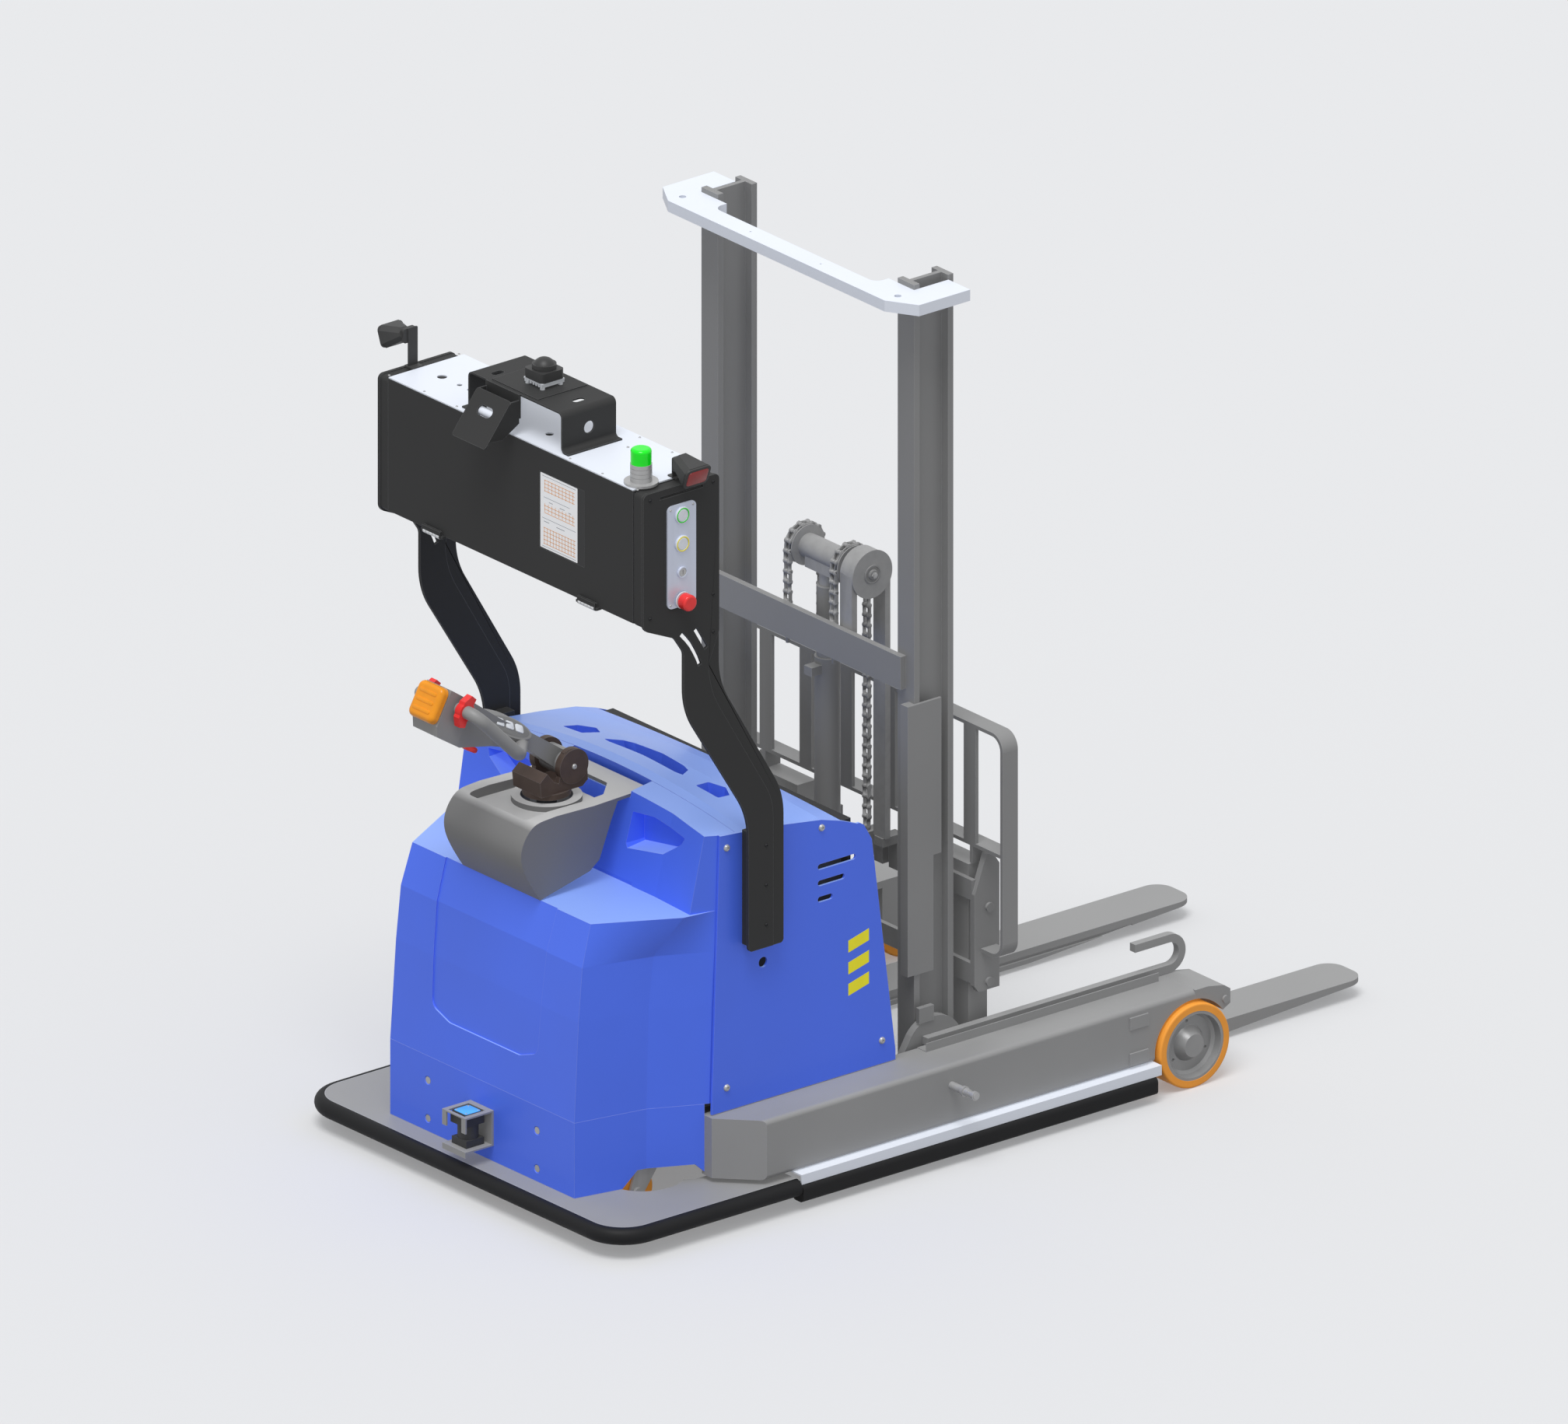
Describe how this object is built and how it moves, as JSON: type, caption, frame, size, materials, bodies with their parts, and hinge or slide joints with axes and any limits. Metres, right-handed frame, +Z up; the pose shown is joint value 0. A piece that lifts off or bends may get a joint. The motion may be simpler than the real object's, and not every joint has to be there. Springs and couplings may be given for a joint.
{
  "type": "autonomous reach truck",
  "caption": "Autonomous reach truck with tiller head, sensor cabinet on two arms, and a mast on rollers between straddle legs that carries forks and a load backrest.",
  "frame": {"origin": "on the floor, under the middle of the outline box of the truck at rest", "axes": "+X along the forks towards their tips, +Y to the left of the truck, +Z up"},
  "size_m": [2.5446, 1.304, 2.148],
  "materials": {
    "body_blue": "satin",
    "grey_steel": "satin",
    "mast_grey": "satin",
    "black_sheet": "matt",
    "white_plate": "satin",
    "bright_steel": "brushed",
    "chain_steel": "oiled",
    "bumper_rubber": "matt",
    "wheel_orange": "satin",
    "rim_steel": "satin",
    "hood_grey": "satin",
    "tiller_grey": "satin",
    "yoke_brown": "satin",
    "safety_orange": "gloss",
    "control_red": "gloss",
    "button_white": "gloss",
    "panel_silver": "satin",
    "screen_glass": "gloss",
    "lens_green": "gloss",
    "dark_plastic": "matt",
    "battery_case": "matt"
  },
  "bodies": {
    "chassis": {"leg_left": "grey_steel", "leg_right": "grey_steel", "wheel_guards": "grey_steel", "leg_sensors": "bright_steel", "bumpers": "bumper_rubber", "bumper_strips": "white_plate", "platform_plate": "grey_steel", "chassis_frame": "black_sheet", "battery_pack": "battery_case", "rear_skirt": "body_blue", "cover_screws": "bright_steel", "rear_cover": "body_blue", "top_cover": "body_blue", "side_panels": "body_blue", "tiller_hood": "hood_grey", "scanner_guard": "grey_steel", "scanner": "dark_plastic", "support_arms": "black_sheet", "control_panel": "panel_silver", "cabinet": "black_sheet", "cabinet_lid": "white_plate", "sensor_bridge": "black_sheet", "lidar": "dark_plastic", "camera": "white_plate", "stack_light": "bright_steel", "light_lens": "lens_green", "warning_lamps": "dark_plastic", "cable_chain": "grey_steel"},
    "steer": {"drive_unit": "dark_plastic", "tiller_yoke": "yoke_brown"},
    "drive_wheel": {"drive_wheel": "wheel_orange"},
    "tiller": {"tiller_arm": "tiller_grey", "tiller_head": "tiller_grey", "head_buttons": "button_white"},
    "throttle": {"throttle": "control_red"},
    "belly_button": {"belly_button": "safety_orange"},
    "tiller_stop": {"tiller_stop": "control_red"},
    "caster_left": {"caster_fork_left": "bright_steel"},
    "caster_right": {"caster_fork_right": "bright_steel"},
    "caster_wheel_left": {"caster_wheel_left": "wheel_orange"},
    "caster_wheel_right": {"caster_wheel_right": "wheel_orange"},
    "load_wheel_left": {"load_tyre_left": "wheel_orange", "load_rim_left": "rim_steel"},
    "load_wheel_right": {"load_tyre_right": "wheel_orange", "load_rim_right": "rim_steel"},
    "door": {"cabinet_door": "black_sheet", "screen": "screen_glass"},
    "start_button": {"start_button": "button_white"},
    "reset_button": {"reset_button": "button_white"},
    "key_switch": {"key_switch": "bright_steel"},
    "emergency_stop": {"emergency_stop": "control_red"},
    "mast": {"mast_frame": "mast_grey", "top_crossbar": "white_plate", "lift_cylinder": "mast_grey", "lift_chains": "chain_steel"},
    "ram": {"lift_ram": "chain_steel"},
    "carriage": {"carriage_frame": "mast_grey", "forks": "grey_steel", "load_backrest": "mast_grey"}
  },
  "joints": [
    {"name": "steer_turn", "type": "hinge", "parent": "chassis", "child": "steer", "pos_m": [-0.887, 0, 0.6], "axis": [0, 0, 1], "range_deg": [-90, 90]},
    {"name": "drive_spin", "type": "hinge", "parent": "steer", "child": "drive_wheel", "pos_m": [-0.887, 0, 0.115], "axis": [0, 1, 0], "continuous": true},
    {"name": "tiller_tilt", "type": "hinge", "parent": "steer", "child": "tiller", "pos_m": [-0.85, 0, 1.02], "axis": [0, 1, 0], "range_deg": [-14, 45]},
    {"name": "throttle_turn", "type": "hinge", "parent": "tiller", "child": "throttle", "pos_m": [-1.18777, 0, 1.2482], "axis": [0, 1, 0], "range_deg": [-25, 25], "stiffness_Nm_per_rad": 0.6},
    {"name": "belly_press", "type": "slide", "parent": "tiller", "child": "belly_button", "axis": [0.8746, 0, -0.4848], "range_m": [0, 0.004], "stiffness_N_per_m": 800},
    {"name": "tiller_stop_press", "type": "slide", "parent": "tiller", "child": "tiller_stop", "axis": [0.4848, 0, 0.8746], "range_m": [0, 0.004], "stiffness_N_per_m": 800},
    {"name": "caster_left_swivel", "type": "hinge", "parent": "chassis", "child": "caster_left", "pos_m": [-0.867, 0.33, 0.14], "axis": [0, 0, 1], "continuous": true},
    {"name": "caster_right_swivel", "type": "hinge", "parent": "chassis", "child": "caster_right", "pos_m": [-0.867, -0.33, 0.14], "axis": [0, 0, 1], "continuous": true},
    {"name": "caster_left_spin", "type": "hinge", "parent": "caster_left", "child": "caster_wheel_left", "pos_m": [-0.905, 0.33, 0.055], "axis": [0, 1, 0], "continuous": true},
    {"name": "caster_right_spin", "type": "hinge", "parent": "caster_right", "child": "caster_wheel_right", "pos_m": [-0.905, -0.33, 0.055], "axis": [0, 1, 0], "continuous": true},
    {"name": "load_wheel_left_spin", "type": "hinge", "parent": "chassis", "child": "load_wheel_left", "pos_m": [0.603, 0.5285, 0.105], "axis": [0, 1, 0], "continuous": true},
    {"name": "load_wheel_right_spin", "type": "hinge", "parent": "chassis", "child": "load_wheel_right", "pos_m": [0.603, -0.5285, 0.105], "axis": [0, 1, 0], "continuous": true},
    {"name": "door_hinge", "type": "hinge", "parent": "chassis", "child": "door", "pos_m": [-0.9978, 0, 1.538], "axis": [0, -1, 0], "range_deg": [0, 90]},
    {"name": "start_press", "type": "slide", "parent": "chassis", "child": "start_button", "axis": [0, 1, 0], "range_m": [0, 0.004], "stiffness_N_per_m": 500},
    {"name": "reset_press", "type": "slide", "parent": "chassis", "child": "reset_button", "axis": [0, 1, 0], "range_m": [0, 0.004], "stiffness_N_per_m": 500},
    {"name": "key_turn", "type": "hinge", "parent": "chassis", "child": "key_switch", "pos_m": [-0.883, -0.492, 1.657], "axis": [0, 1, 0], "range_deg": [0, 60]},
    {"name": "stop_press", "type": "slide", "parent": "chassis", "child": "emergency_stop", "axis": [0, 1, 0], "range_m": [0, 0.005], "stiffness_N_per_m": 800},
    {"name": "mast_reach", "type": "slide", "parent": "chassis", "child": "mast", "axis": [1, 0, 0], "range_m": [0, 0.43]},
    {"name": "carriage_lift", "type": "slide", "parent": "mast", "child": "carriage", "axis": [0, 0, 1], "range_m": [0, 1.2], "deforming": ["lift_chains"]},
    {"name": "ram_lift", "type": "slide", "parent": "mast", "child": "ram", "axis": [0, 0, 1], "range_m": [0, 0.6]}
  ],
  "couplings": [
    {"joint": "ram_lift", "follows": "carriage_lift", "ratio": 0.5}
  ]
}
